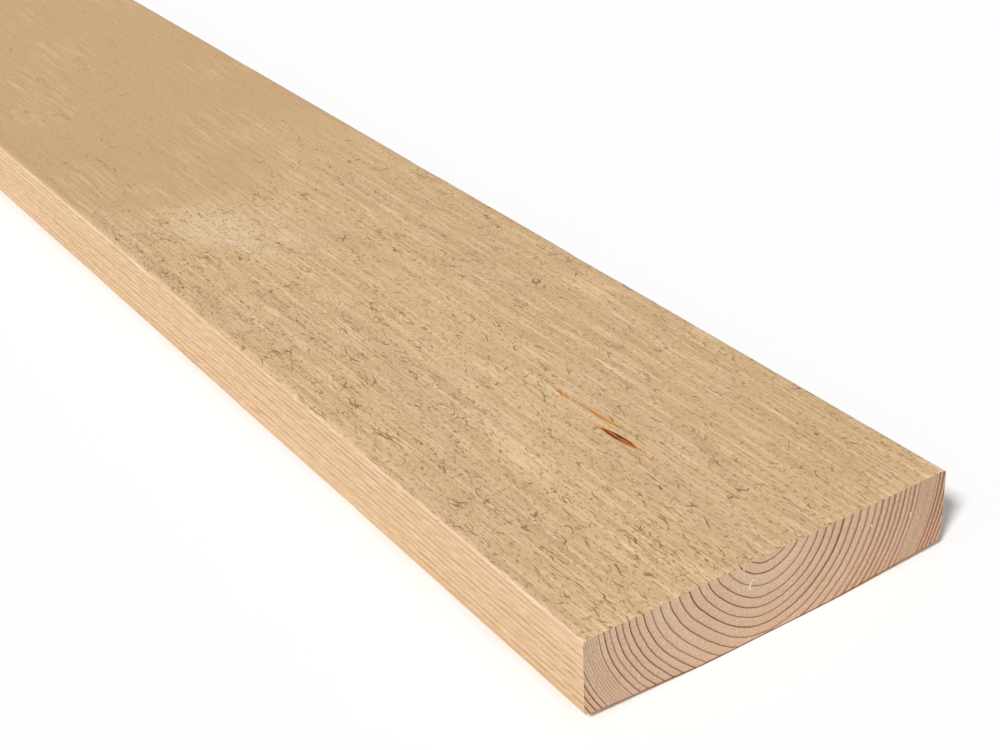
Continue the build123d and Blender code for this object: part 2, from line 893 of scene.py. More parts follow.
def new_group(
    name: str, inputs: dict[str, float | Place], outputs: tuple[str, ...]
) -> tuple[Sheet, bpy.types.Node, bpy.types.Node]:
    """Start a node group with named inputs and outputs.

    Args:
        name: Name of the group.
        inputs: Name and usual value of each input, a vector as three numbers.
        outputs: Name of each output, all of them plain numbers.

    Returns:
        The sheet to draw on, the group's input node and its output node.
    """
    tree = bpy.data.node_groups.new(name, "ShaderNodeTree")
    for label, value in inputs.items():
        kind = "NodeSocketVector" if isinstance(value, tuple) else "NodeSocketFloat"
        socket = tree.interface.new_socket(label, in_out="INPUT", socket_type=kind)
        socket.default_value = value
    for label in outputs:
        tree.interface.new_socket(label, in_out="OUTPUT", socket_type="NodeSocketFloat")
    sheet = Sheet(tree)
    return sheet, sheet.node("NodeGroupInput"), sheet.node("NodeGroupOutput")


@dataclass(frozen=True)
class GrowthRings:
    """The tree's rings, met by every face of the board, as a group of nodes.

    The rings run round a pith that lies just above the top face. They are wide near the pith,
    close up towards the bark, pass a belt of very narrow rings and open again. They are
    flattened on the lower near side. All measures here are in millimetres, and the rates are
    rings to a millimetre.
    """

    pith_y: float = -3.35
    pith_z: float = 37.3
    core_lift: float = 2.5
    core_radius: float = 8.0
    core_end: float = 24.0
    inner_rate: float = 0.273
    closing_from: float = 42.0
    closing_rate: float = 0.0044
    belt_start: float = 67.2
    belt_end: float = 74.2
    belt_rate: float = 1.1
    outer_rate: float = 0.57
    flat_side: float = math.radians(227.0)
    flat_power: float = 8.0
    flat_from: float = 10.0
    flat_share: float = 0.15
    flat_least: float = 2.3
    flat_growth: float = 0.027
    dark_ring: float = 8.0
    wander_over: float = 0.45
    slow_weave: Weave = Weave(2.2, 9.0)
    fine_weave: Weave = Weave(120.0, 120.0)
    sharp_share: float = 0.35
    least_strength: float = 0.65
    most_strength: float = 1.25
    belt_loss: float = -0.6
    outer_gain: float = 0.2
    fade_rate: float = -1.1

    @staticmethod
    def length(sheet: Sheet, across: Value, up: Value) -> Socket:
        """Measure the distance from the pith."""
        return sheet.maths("SQRT", sheet.plus(sheet.squared(across), sheet.squared(up)))

    def true_radius(self, sheet: Sheet, across: Value, up: Value) -> Socket:
        """Work out how far a place lies from the pith, as counted along an even ring.

        Args:
            sheet: The nodes of the group.
            across: Place across the board, from the pith.
            up: Height above the pith.

        Returns:
            The radius of the ring through that place.
        """
        bare = self.length(sheet, across, up)
        lift = sheet.spread(bare, self.core_end, self.core_radius, 0.0, self.core_lift)
        lifted = sheet.minus(up, lift)
        radius = self.length(sheet, across, lifted)
        toward = sheet.plus(
            sheet.times(across, math.cos(self.flat_side)),
            sheet.times(lifted, math.sin(self.flat_side)),
        )
        aimed = sheet.larger(sheet.maths("DIVIDE", toward, radius), 0.0)
        near_squeeze = sheet.times(sheet.past(radius, self.flat_from), self.flat_share)
        far_squeeze = sheet.times_plus(radius, self.flat_growth, self.flat_least)
        squeeze = sheet.smaller(near_squeeze, far_squeeze)
        return sheet.times_plus(sheet.maths("POWER", aimed, self.flat_power), squeeze, radius)

    def counted(
        self, sheet: Sheet, radius: Socket, in_belt: Socket, past_belt: Socket
    ) -> tuple[Socket, Socket]:
        """Count the rings out to a radius.

        Args:
            sheet: The nodes of the group.
            radius: The radius.
            in_belt: 1 from the start of the narrow belt on.
            past_belt: 1 from its end on.

        Returns:
            The number of rings, and how many there are to a millimetre at that radius.
        """
        closing_end = self.belt_start - self.closing_from
        closed_rate = self.inner_rate + 2 * self.closing_rate * closing_end
        closing = sheet.smaller(sheet.past(radius, self.closing_from), closing_end)
        belt = sheet.past(radius, self.belt_start)
        outer = sheet.past(radius, self.belt_end)
        count = sheet.times(radius, self.inner_rate)
        count = sheet.times_plus(sheet.squared(closing), self.closing_rate, count)
        count = sheet.times_plus(belt, self.belt_rate - self.inner_rate, count)
        count = sheet.times_plus(outer, self.outer_rate - self.belt_rate, count)
        rate = sheet.times_plus(closing, 2 * self.closing_rate, self.inner_rate)
        rate = sheet.times_plus(in_belt, self.belt_rate - closed_rate, rate)
        return count, sheet.times_plus(past_belt, self.outer_rate - self.belt_rate, rate)

    def group(self) -> bpy.types.NodeTree:
        """Draw the group: the latewood lines, the shade before each and each ring's tone.

        Returns:
            The group.
        """
        inputs = {
            "Position": (0.0, 0.0, 0.0),
            "End X": 0.9,
            "Wander": 4.0,
            "Waver": 0.1,
            "Line Width": 0.5,
        }
        sheet, given, result = new_group("growth_rings", inputs, ("Line", "Shade", "Tone"))
        x, y, z = sheet.split(given.outputs["Position"])
        back = sheet.minus(given.outputs["End X"], x)
        reach = sheet.times(sheet.spread(back, 0.0, self.wander_over), given.outputs["Wander"])
        slow = sheet.grain(sheet.joined(x, sheet.plus(y, z)), self.slow_weave)
        fine = sheet.grain(sheet.joined(sheet.plus(y, x), z), self.fine_weave)
        swing = sheet.times(sheet.minus(slow, 0.5), reach)
        shiver = sheet.times(sheet.minus(fine, 0.5), given.outputs["Waver"])
        across = sheet.plus(sheet.times_plus(y, 1 / MM, -self.pith_y), swing)
        up = sheet.times_plus(z, 1 / MM, -self.pith_z)
        radius = sheet.plus(self.true_radius(sheet, across, up), shiver)

        in_belt = sheet.maths("GREATER_THAN", radius, self.belt_start)
        past_belt = sheet.maths("GREATER_THAN", radius, self.belt_end)
        count, rate = self.counted(sheet, radius, in_belt, past_belt)
        ring = sheet.maths("FLOOR", count)
        to_next = sheet.maths("DIVIDE", sheet.minus(1.0, sheet.maths("FRACT", count)), rate)
        own = sheet.node("ShaderNodeTexWhiteNoise", noise_dimensions="1D")
        sheet.feed(own.inputs["W"], ring)
        tone = own.outputs["Value"]
        width = given.outputs["Line Width"]
        line = sheet.spread(to_next, width, sheet.times(width, self.sharp_share))
        is_dark = sheet.maths("COMPARE", ring, self.dark_ring, 0.5)
        own_share = sheet.times_plus(tone, 1.0 - self.least_strength, self.least_strength)
        strength = sheet.plus(own_share, is_dark)
        faint = sheet.times_plus(sheet.minus(in_belt, past_belt), self.belt_loss, 1.0)
        strength = sheet.times(sheet.smaller(strength, self.most_strength), faint)
        strength = sheet.times_plus(past_belt, self.outer_gain, strength)
        soft = sheet.maths("EXPONENT", sheet.times(to_next, self.fade_rate))
        sheet.feed(result.inputs["Line"], sheet.times(line, strength))
        sheet.feed(result.inputs["Shade"], sheet.times(soft, strength))
        sheet.feed(result.inputs["Tone"], tone)
        return sheet.tree


@dataclass(frozen=True)
class SawnFibres:
    """Combed fibres along the grain that a saw leaves, as a group of nodes."""

    wave: Weave = Weave(24.0, 30.0)
    wave_reach: float = 0.006
    comb: Weave = Weave(85.0, 1250.0, 1.5, 0.6)
    fine: Weave = Weave(420.0, 1900.0)
    streak: Weave = Weave(16.0, 420.0, 1.5, 0.6)
    patch: Weave = Weave(28.0, 120.0, 2.0, 0.6)
    hue: Weave = Weave(7.0, 24.0)

    def group(self) -> bpy.types.NodeTree:
        """Draw the group: fine and coarse combing, long streaks, slow patches and hue.

        Returns:
            The group.
        """
        weaves = {
            "Comb": self.comb,
            "Fine": self.fine,
            "Streak": self.streak,
            "Patch": self.patch,
            "Hue": self.hue,
        }
        sheet, given, result = new_group("sawn_fibres", {"Plane": (0.0, 0.0, 0.0)}, tuple(weaves))
        plane = given.outputs["Plane"]
        along, across, _ = sheet.split(plane)
        wavy = sheet.times_plus(sheet.grain(plane, self.wave), self.wave_reach, across)
        plane = sheet.joined(along, wavy)
        for name, weave in weaves.items():
            sheet.feed(result.inputs[name], sheet.grain(plane, weave))
        return sheet.tree


@dataclass(frozen=True)
class TornMarks:
    """Small curved tears scattered over a sawn face, as a group of nodes.

    The tears follow level lines of one noise and show only where a second noise is high, so
    they bend, fork and taper as torn grain does.
    """

    softness: float = 0.028
    # Offset and width share of the lifted rim, whose paleness is a painted highlight.
    rim_gap: float = 0.066
    rim_share: float = 0.6
    line_weave: Weave = Weave(1.0, 1.0, 0.5)
    place_weave: Weave = Weave(0.62, 0.8)
    place_shift: Place = (31.7, 12.9, 0.0)
    sparse: float = 0.645
    crowding: float = -0.2
    place_edge: float = 0.16
    taper: float = -0.012

    def group(self) -> bpy.types.NodeTree:
        """Draw the group: the dark tears and the lifted rims beside them, which carry a painted
        highlight.

        Returns:
            The group.
        """
        inputs = {
            "Plane": (0.0, 0.0, 0.0),
            "Along": 220.0,
            "Across": 330.0,
            "Width": 0.08,
            "Crowd": 0.5,
        }
        sheet, given, result = new_group("torn_marks", inputs, ("Mark", "Rim"))
        stretch = sheet.joined(given.outputs["Along"], given.outputs["Across"], 1.0)
        plane = sheet.vector("MULTIPLY", given.outputs["Plane"], stretch)
        lines = sheet.grain(plane, self.line_weave)
        places = sheet.grain(sheet.vector("ADD", plane, self.place_shift), self.place_weave)
        lowest = sheet.times_plus(given.outputs["Crowd"], self.crowding, self.sparse)
        there = sheet.spread(places, lowest, sheet.plus(lowest, self.place_edge))
        half = sheet.times_plus(there, given.outputs["Width"], self.taper)
        narrow = sheet.times(half, self.rim_share)
        for name, level, width in (("Mark", 0.5, half), ("Rim", 0.5 + self.rim_gap, narrow)):
            off = sheet.maths("ABSOLUTE", sheet.minus(lines, level))
            line = sheet.spread(sheet.minus(width, off), 0.0, self.softness)
            sheet.feed(result.inputs[name], line)
        return sheet.tree


class GrainLibrary:
    """The node groups that the finishes share, each built once."""

    def __init__(self, end_x: float) -> None:
        """Build the groups.

        Args:
            end_x: Place of the sawn end, where the rings lie as they are seen.
        """
        self.end_x = end_x
        self.rings = GrowthRings().group()
        self.fibres = SawnFibres().group()
        self.marks = TornMarks().group()


@dataclass(frozen=True)
class Surface:
    """How a finish takes light: its roughness from a low noise to a high one, and its gloss.

    The relief is how far the full height of the finish stands out, in metres.
    """

    roughness: Point
    relief: float
    gloss: float = 0.5
    noise_range: Point = (0.3, 0.7)


class FinishSheet(Sheet):
    """The node tree of one finish."""

    def __init__(self, name: str) -> None:
        """Start a finish.

        Args:
            name: Name of the finish.
        """
        self.material = bpy.data.materials.new(name)
        self.material.use_nodes = True
        super().__init__(self.material.node_tree)
        self.shader = next(node for node in self.tree.nodes if node.type == "BSDF_PRINCIPLED")

    def place(self) -> Socket:
        """Give the place that is being shaded, in the board's frame."""
        return self.node("ShaderNodeTexCoord").outputs["Object"]

    def settle(
        self, colour: Socket, fleck: Socket, height: Socket, surface: Surface
    ) -> bpy.types.Material:
        """Feed the shader with a colour, a roughness and a relief.

        Args:
            colour: The colour.
            fleck: The noise that the roughness follows.
            height: Height, in shares of the surface's relief.
            surface: How the finish takes light.

        Returns:
            The finished material.
        """
        inputs = self.shader.inputs
        roughness = self.spread(fleck, *surface.noise_range, *surface.roughness)
        self.feed(inputs["Base Color"], colour)
        self.feed(inputs["Roughness"], roughness)
        inputs["Specular IOR Level"].default_value = surface.gloss
        bump = self.node("ShaderNodeBump")
        bump.inputs["Strength"].default_value = 1.0
        bump.inputs["Distance"].default_value = surface.relief
        self.feed(bump.inputs["Height"], height)
        self.feed(inputs["Normal"], bump.outputs["Normal"])
        return self.material


@dataclass(frozen=True)
class SoftPatch:
    """A soft-edged oval on the top face, placed back from the sawn end."""

    back: float
    across: float
    half_length: float
    half_width: float
    turn: float
    raggedness: float = 1.8

    def mask(self, sheet: Sheet, plane: Triple, end_x: float, unevenness: Value) -> Socket:
        """Draw the oval.

        Args:
            sheet: The nodes of the finish.
            plane: Places along and across the grain.
            end_x: Place of the sawn end.
            unevenness: A noise that makes its outline uneven.

        Returns:
            The mask, 1 in the middle.
        """
        middle = (end_x - self.back, self.across, 0.0)
        turned = sheet.node("ShaderNodeVectorRotate", rotation_type="Z_AXIS")
        sheet.feed(turned.inputs["Vector"], sheet.vector("SUBTRACT", plane, middle))
        turned.inputs["Angle"].default_value = -math.radians(self.turn)
        along, across, _ = sheet.split(turned.outputs["Vector"])
        far = sheet.squared(sheet.maths("DIVIDE", along, self.half_length))
        wide = sheet.squared(sheet.maths("DIVIDE", across, self.half_width))
        ragged = sheet.times_plus(unevenness, self.raggedness, -self.raggedness / 2)
        return sheet.spread(sheet.plus(sheet.plus(far, wide), ragged), 1.0, 0.1)


@dataclass(frozen=True)
class TearKind:
    """One kind of torn mark: its waves to a metre, width, darkness and shift from the others."""

    along: float
    across: float
    width: float
    darkness: float = 1.0
    shift: Place = (0.0, 0.0, 0.0)

    def lay(
        self, sheet: Sheet, group: bpy.types.NodeTree, plane: Triple, crowd: Value
    ) -> bpy.types.Node:
        """Scatter tears of this kind.

        Args:
            sheet: The nodes of the finish.
            group: The group that draws tears.
            plane: Places along and across the grain.
            crowd: How thickly the tears stand, 0 to 1.

        Returns:
            The group's node.
        """
        if any(self.shift):
            plane = sheet.vector("ADD", plane, self.shift)
        return sheet.use(
            group, Plane=plane, Along=self.along, Across=self.across, Width=self.width, Crowd=crowd
        )


@dataclass(frozen=True)
class SawnFaceFinish:
    """Rough-sawn broad face: tan and combed, with torn marks, a pale swirl and resin stain.

    The marks crowd together on the near side of the sawn end and thin out past a line across
    the board, beyond which the face is smooth and plainer, with painted shade that darkens it.
    """

    library: GrainLibrary
    name: str = "sawn_face"
    wood: Colour = paint(214, 181, 139)
    rosy: Colour = paint(209, 174, 137)
    olive: Colour = paint(212, 179, 134)
    dark: Colour = paint(176, 140, 98)
    pale: Colour = paint(234, 206, 164)
    haze: Colour = paint(224, 202, 170)
    torn: Colour = paint(118, 78, 32)
    # Plainer, darker tan: plainer wood, with painted shade where the light falls off further back.
    plain: Colour = paint(197, 163, 122)
    resin: Colour = paint(200, 136, 58)
    surface: Surface = Surface((0.78, 0.92), 0.22 * MM, 0.25)
    smooth_from: float = 0.346
    smooth_slant: float = -0.42
    border_start: float = -0.015
    border_width: Ramp = Ramp(-0.02, 0.06, 0.016, 0.16)
    near_side: Ramp = Ramp(0.05, -0.04)
    far_crowd: float = 0.38
    near_crowd: float = 0.3
    patchiness: float = 2.4
    smooth_crowd: float = -0.68
    swirl_crowd: float = -0.45
    large_thinning: float = 0.08
    swirl: SoftPatch = SoftPatch(0.322, -0.029, 0.048, 0.019, 18.0)
    band: SoftPatch = SoftPatch(0.07, -0.031, 0.115, 0.0095, -1.5)
    stain: SoftPatch = SoftPatch(0.0822, 0.0015, 0.0170, 0.0019, 5.0)
    long_seam: SoftPatch = SoftPatch(0.0965, 0.0050, 0.0180, 0.0010, 4.0)
    short_seam: SoftPatch = SoftPatch(0.1190, 0.0036, 0.0095, 0.0009, -2.5)
    large_tears: TearKind = TearKind(130.0, 300.0, 0.064)
    small_tears: TearKind = TearKind(290.0, 520.0, 0.068, 0.62, (0.37, 0.11, 0.0))
    long_tears: TearKind = TearKind(80.0, 520.0, 0.06, 0.8, (-0.53, 0.29, 0.0))
    tear_cloud: Weave = Weave(190.0, 260.0)
    tear_fading: Ramp = Ramp(0.3, 0.62, 0.45, 1.0)
    specks: Weave = Weave(420.0, 950.0, 1.5, 0.6)
    speck_floor: float = 0.6
    speck_edge: float = 0.1
    smooth_specks: float = 0.05
    mottle: Weave = Weave(11.0, 18.0, 2.0)
    mottling: Ramp = Ramp(0.5, 0.6, -0.66, -0.22)
    hairs: Weave = Weave(34.0, 1150.0)
    lanes: Weave = Weave(6.0, 290.0)
    lane_range: Ramp = Ramp(0.53, 0.66)
    lane_share: float = 0.22
    band_lanes: float = 0.26
    pale_share: float = 0.75
    band_paleness: float = 0.4
    curls: Weave = Weave(230.0, 420.0, 2.0, 0.6, 1.2)
    curling: Ramp = Ramp(0.4, 0.6, 0.1, 0.78)
    hue_range: Ramp = Ramp(0.4, 0.62)
    wood_share: float = 0.45
    # Share of the plainer, darker tan beyond the slanting line, which is partly painted shade, and
    # towards the far edge.
    smooth_plain_and_shade: float = 0.8
    far_dullness: Ramp = Ramp(-0.01, 0.05, 0.0, 0.32)
    streak_shade: Wash = Wash(0.48, 0.3, 0.22)
    comb_shade: Wash = Wash(0.48, 0.28, 0.24)
    fine_shade: Wash = Wash(0.48, 0.28, 0.24)
    pale_hairs: Wash = Wash(0.55, 0.68, 0.66)
    pale_streaks: Wash = Wash(0.57, 0.72, 0.32)
    pale_threads: Wash = Wash(0.58, 0.78, 0.25)
    band_share: float = 0.03
    most_pale: float = 0.85
    ring_share: float = 0.12
    # Strength of the painted highlight on the lifted rims beside the tears.
    rim_share: float = 0.35
    speck_share: float = 0.4
    tear_share: float = 0.68
    soaked_share: float = 0.8
    above: float = 16 * MM
    comb_height: float = 0.3
    tear_height: float = -0.45
    speck_height: float = -0.2
    rim_height: float = 0.2

    def smoothness(self, sheet: Sheet, x: Socket, y: Socket) -> Socket:
        """Draw the region beyond the slanting line where the face is smooth.

        Args:
            sheet: The nodes of the finish.
            x: Place along the board.
            y: Place across the board.

        Returns:
            The mask, 1 where the face is smooth.
        """
        back = sheet.minus(self.library.end_x, x)
        border = sheet.times_plus(y, self.smooth_slant, self.smooth_from)
        width = sheet.ramp(y, self.border_width)
        return sheet.spread(sheet.minus(back, border), self.border_start, width)

    def crowd(
        self, sheet: Sheet, y: Socket, patch: Socket, smooth: Socket, swirl: Socket
    ) -> Socket:
        """Tell how thickly the tears stand.

        Args:
            sheet: The nodes of the finish.
            y: Place across the board.
            patch: The slow noise that gathers them.
            smooth: 1 where the face is smooth.
            swirl: 1 in the pale swirl.

        Returns:
            The crowding, 0 to 1.
        """
        near_side = sheet.ramp(y, self.near_side)
        crowd = sheet.times_plus(near_side, self.near_crowd, self.far_crowd)
        patchy = sheet.times_plus(patch, self.patchiness, -self.patchiness / 2)
        crowd = sheet.times_plus(smooth, self.smooth_crowd, sheet.plus(crowd, patchy))
        return sheet.times_plus(swirl, self.swirl_crowd, crowd)

    def marks(self, sheet: Sheet, plane: Triple, crowd: Socket) -> tuple[Socket, Socket]:
        """Scatter large tears, small ones and long ones that follow the grain.

        Args:
            sheet: The nodes of the finish.
            plane: Places along and across the grain.
            crowd: How thickly the tears stand, 0 to 1.

        Returns:
            How dark the tears are, and the lifted rims beside them, which carry a painted
            highlight.
        """
        group = self.library.marks
        thinner = sheet.minus(crowd, self.large_thinning)
        large = self.large_tears.lay(sheet, group, plane, thinner)
        long = self.long_tears.lay(sheet, group, plane, crowd)
        small = self.small_tears.lay(sheet, group, plane, crowd)
        dark = large.outputs["Mark"]
        for tears, kind in ((small, self.small_tears), (long, self.long_tears)):
            dark = sheet.larger(dark, sheet.times(tears.outputs["Mark"], kind.darkness))
        cloud = sheet.ramp(sheet.grain(plane, self.tear_cloud), self.tear_fading)
        return sheet.times(dark, cloud), sheet.larger(large.outputs["Rim"], long.outputs["Rim"])

    def paleness(
        self, sheet: Sheet, plane: Triple, streak: Socket, fine: Socket, band: Socket
    ) -> Socket:
        """Gather the pale hairs, streaks, threads and lanes, all stronger in the pale band.

        Args:
            sheet: The nodes of the finish.
            plane: Places along and across the grain.
            streak: The long streaks.
            fine: The fine combing.
            band: 1 in the pale band along the near side.

        Returns:
            How pale the wood is, before it is held back on the smooth region.
        """
        pale = sheet.washed(sheet.grain(plane, self.hairs), self.pale_hairs)
        pale = sheet.plus(pale, sheet.washed(streak, self.pale_streaks))
        pale = sheet.plus(pale, sheet.washed(fine, self.pale_threads))
        lanes = sheet.ramp(sheet.grain(plane, self.lanes), self.lane_range)
        lane_share = sheet.times_plus(band, self.band_lanes, self.lane_share)
        pale = sheet.times_plus(lanes, lane_share, pale)
        return sheet.times(pale, sheet.times_plus(band, self.band_paleness, self.pale_share))

    def soaked(self, sheet: Sheet, level: Triple, z: Socket, fine: Socket) -> Socket:
        """Draw the resin that has soaked into the wood round the pocket and the seams.

        Args:
            sheet: The nodes of the finish.
            level: Places along and across the top face.
            z: Height.
            fine: The fine combing.

        Returns:
            The mask, 1 where the wood is soaked.
        """
        end_x = self.library.end_x
        long, short, stain = (
            patch.mask(sheet, level, end_x, fine)
            for patch in (self.long_seam, self.short_seam, self.stain)
        )
        on_top = sheet.maths("GREATER_THAN", z, self.above)
        return sheet.times(sheet.larger(stain, sheet.larger(long, short)), on_top)

    def build(self) -> bpy.types.Material:
        """Make the material.

        Returns:
            The material.
        """
        sheet = FinishSheet(self.name)
        end_x = self.library.end_x
        place = sheet.place()
        x, y, z = sheet.split(place)
        plane = sheet.joined(x, sheet.times_plus(z, 3.0, y))
        level = sheet.joined(x, y)
        rings = sheet.use(
            self.library.rings, Position=place, End_X=end_x, Wander=14.0, Line_Width=0.9
        )
        fibres = sheet.use(self.library.fibres, Plane=plane).outputs
        comb, fine, streak, patch = (fibres[k] for k in ("Comb", "Fine", "Streak", "Patch"))

        smooth = self.smoothness(sheet, x, y)
        swirl = self.swirl.mask(sheet, level, end_x, patch)
        crowd = self.crowd(sheet, y, patch, smooth, swirl)
        marks, rims = self.marks(sheet, plane, crowd)
        floor = sheet.times_plus(smooth, self.smooth_specks, self.speck_floor)
        full = sheet.plus(floor, self.speck_edge)
        specks = sheet.spread(sheet.grain(plane, self.specks), floor, full)
        mottle = sheet.ramp(sheet.grain(level, self.mottle), self.mottling)
        relief = sheet.times_plus(smooth, mottle, 1.0)

        colour = sheet.blend(sheet.ramp(fibres["Hue"], self.hue_range), self.rosy, self.olive)
        colour = sheet.blend(self.wood_share, colour, self.wood)
        # Plainer and darker beyond the slanting line: plainer wood with painted shade for the
        # light falling off further back; plainer towards the far edge too.
        plain_and_shade = sheet.times(smooth, self.smooth_plain_and_shade)
        plain_and_shade = sheet.larger(plain_and_shade, sheet.ramp(y, self.far_dullness))
        colour = sheet.blend(plain_and_shade, colour, self.plain)
        for fibre, shade in (
            (streak, self.streak_shade),
            (comb, self.comb_shade),
            (fine, self.fine_shade),
        ):
            colour = sheet.coat(sheet.washed(fibre, shade), relief, colour, self.dark)
        colour = sheet.coat(rings.outputs["Line"], self.ring_share, colour, self.dark)
        band = self.band.mask(sheet, level, end_x, streak)
        pale = self.paleness(sheet, plane, streak, fine, band)
        pale = sheet.times(pale, sheet.times(relief, relief))
        pale = sheet.times_plus(band, self.band_share, pale)
        colour = sheet.blend(sheet.smaller(pale, self.most_pale), colour, self.pale)
        curls = sheet.ramp(sheet.grain(plane, self.curls), self.curling)
        colour = sheet.coat(swirl, curls, colour, self.haze)
        # Painted highlight on the lifted rims beside the tears.
        colour = sheet.coat(rims, self.rim_share, colour, self.pale)
        colour = sheet.coat(specks, self.speck_share, colour, self.torn)
        colour = sheet.coat(marks, self.tear_share, colour, self.torn)
        soaked = self.soaked(sheet, level, z, fine)
        colour = sheet.coat(soaked, self.soaked_share, colour, self.resin)

        combed = sheet.heap(tuple((fibre, self.comb_height) for fibre in (comb, streak, fine)))
        tears = (
            (marks, self.tear_height),
            (specks, self.speck_height),
            (rims, self.rim_height),
        )
        height = sheet.heap(tears, sheet.times(combed, relief))
        return sheet.settle(colour, comb, height, self.surface)


@dataclass(frozen=True)
class SawnEdgeFinish:
    """Long edge: paler and warmer than the faces, with fine sawn lines along it and a painted
    highlight along its top arris.
    """

    library: GrainLibrary
    name: str = "sawn_edge"
    wood: Colour = paint(208, 175, 136)
    rosy: Colour = paint(211, 175, 139)
    dark: Colour = paint(180, 140, 99)
    pale: Colour = paint(230, 204, 167)
    # Pale pink of the painted highlight along the top arris.
    arris_highlight: Colour = paint(224, 200, 180)
    foot: Colour = paint(208, 160, 108)
    speck: Colour = paint(150, 108, 68)
    surface: Surface = Surface((0.72, 0.88), 0.2 * MM, 0.3)
    line_pitch: float = 2.4 * MM
    line_drift: float = 1.6 * MM
    drift: Weave = Weave(5.0, 60.0)
    fading: Weave = Weave(15.0, 300.0)
    rows: Weave = Weave(5.0, 820.0)
    flecks: Weave = Weave(110.0, 900.0, 1.5)
    slant: float = -0.13
    fading_range: Ramp = Ramp(0.36, 0.58, 0.2, 1.0)
    groove_range: Ramp = Ramp(-0.5, -0.95)
    crest_range: Ramp = Ramp(0.6, 0.97)
    hue_range: Ramp = Ramp(0.4, 0.6)
    tear_crowd: Ramp = Ramp(0.5, 0.7, -0.1, 0.5)
    # Noise, patch strengths and height range of the painted highlight along the top arris.
    arris: Weave = Weave(26.0, 40.0, 2.0)
    arris_highlight_patches: Ramp = Ramp(0.4, 0.6, 0.2, 0.72)
    arris_range: Ramp = Ramp(29.9 * MM, 30.9 * MM)
    raggedness: float = 4 * MM
    tears: TearKind = TearKind(140.0, 620.0, 0.05)
    row_shade: Wash = Wash(0.47, 0.36, 0.14)
    fleck_shade: Wash = Wash(0.46, 0.28, 0.34)
    fine_shade: Wash = Wash(0.45, 0.24, 0.3)
    pale_rows: Wash = Wash(0.53, 0.64, 0.22)
    pale_flecks: Wash = Wash(0.55, 0.72, 0.44)
    low_shade: Wash = Wash(6.8 * MM, 4.2 * MM, 0.45)
    ring_share: float = 0.3
    line_share: float = 0.55
    tear_share: float = 0.4

    def saw_lines(self, sheet: Sheet, plane: Triple, z: Socket) -> tuple[Socket, Socket]:
        """Draw the regular lines that the saw left, which drift and fade in places.

        Args:
            sheet: The nodes of the finish.
            plane: Places along and up the edge.
            z: Height.

        Returns:
            The grooves and the crests between them.
        """
        drifted = sheet.times_plus(sheet.grain(plane, self.drift), self.line_drift, z)
        wave = sheet.maths("SINE", sheet.times(drifted, 2 * math.pi / self.line_pitch))
        shown = sheet.ramp(sheet.grain(plane, self.fading), self.fading_range)
        grooves = sheet.times(sheet.ramp(wave, self.groove_range), shown)
        return grooves, sheet.times(sheet.ramp(wave, self.crest_range), shown)

    def build(self) -> bpy.types.Material:
        """Make the material.

        Returns:
            The material.
        """
        sheet = FinishSheet(self.name)
        place = sheet.place()
        x, y, z = sheet.split(place)
        plane = sheet.joined(x, sheet.times_plus(y, 3.0, z))
        slanted = sheet.joined(x, sheet.times_plus(x, self.slant, z))
        rings = sheet.use(
            self.library.rings,
            Position=place,
            End_X=self.library.end_x,
            Wander=1.6,
            Waver=0.12,
            Line_Width=0.6,
        )
        fibres = sheet.use(self.library.fibres, Plane=plane).outputs
        comb, fine, streak, hue = (fibres[k] for k in ("Comb", "Fine", "Streak", "Hue"))
        rows = sheet.grain(plane, self.rows)
        flecks = sheet.grain(slanted, self.flecks)
        grooves, crests = self.saw_lines(sheet, plane, z)
        crowd = sheet.ramp(hue, self.tear_crowd)
        tears = self.tears.lay(sheet, self.library.marks, slanted, crowd).outputs["Mark"]

        colour = sheet.blend(sheet.ramp(hue, self.hue_range), self.wood, self.rosy)
        colour = sheet.coat(rings.outputs["Line"], self.ring_share, colour, self.dark)
        colour = sheet.wash(rows, self.row_shade, colour, self.dark)
        colour = sheet.wash(flecks, self.fleck_shade, colour, self.dark)
        colour = sheet.coat(grooves, self.line_share, colour, self.dark)
        colour = sheet.coat(crests, self.line_share, colour, self.pale)
        colour = sheet.wash(rows, self.pale_rows, colour, self.pale)
        colour = sheet.wash(flecks, self.pale_flecks, colour, self.pale)
        colour = sheet.wash(fine, self.fine_shade, colour, self.dark)
        ragged = sheet.times_plus(sheet.minus(comb, 0.5), self.raggedness, z)
        # Painted highlight: a pale band along the rounded top arris, broken into patches by a
        # noise.
        arris = sheet.ramp(ragged, self.arris_range)
        bare = sheet.ramp(sheet.grain(plane, self.arris), self.arris_highlight_patches)
        colour = sheet.coat(arris, bare, colour, self.arris_highlight)
        colour = sheet.wash(ragged, self.low_shade, colour, self.foot)
        colour = sheet.coat(tears, self.tear_share, colour, self.speck)

        lines = ((flecks, 0.6), (rows, 0.5), (crests, 0.35), (grooves, -0.35))
        height = sheet.heap(lines + ((fine, 0.3), (streak, 0.3), (tears, -0.4)))
        return sheet.settle(colour, comb, height, self.surface)


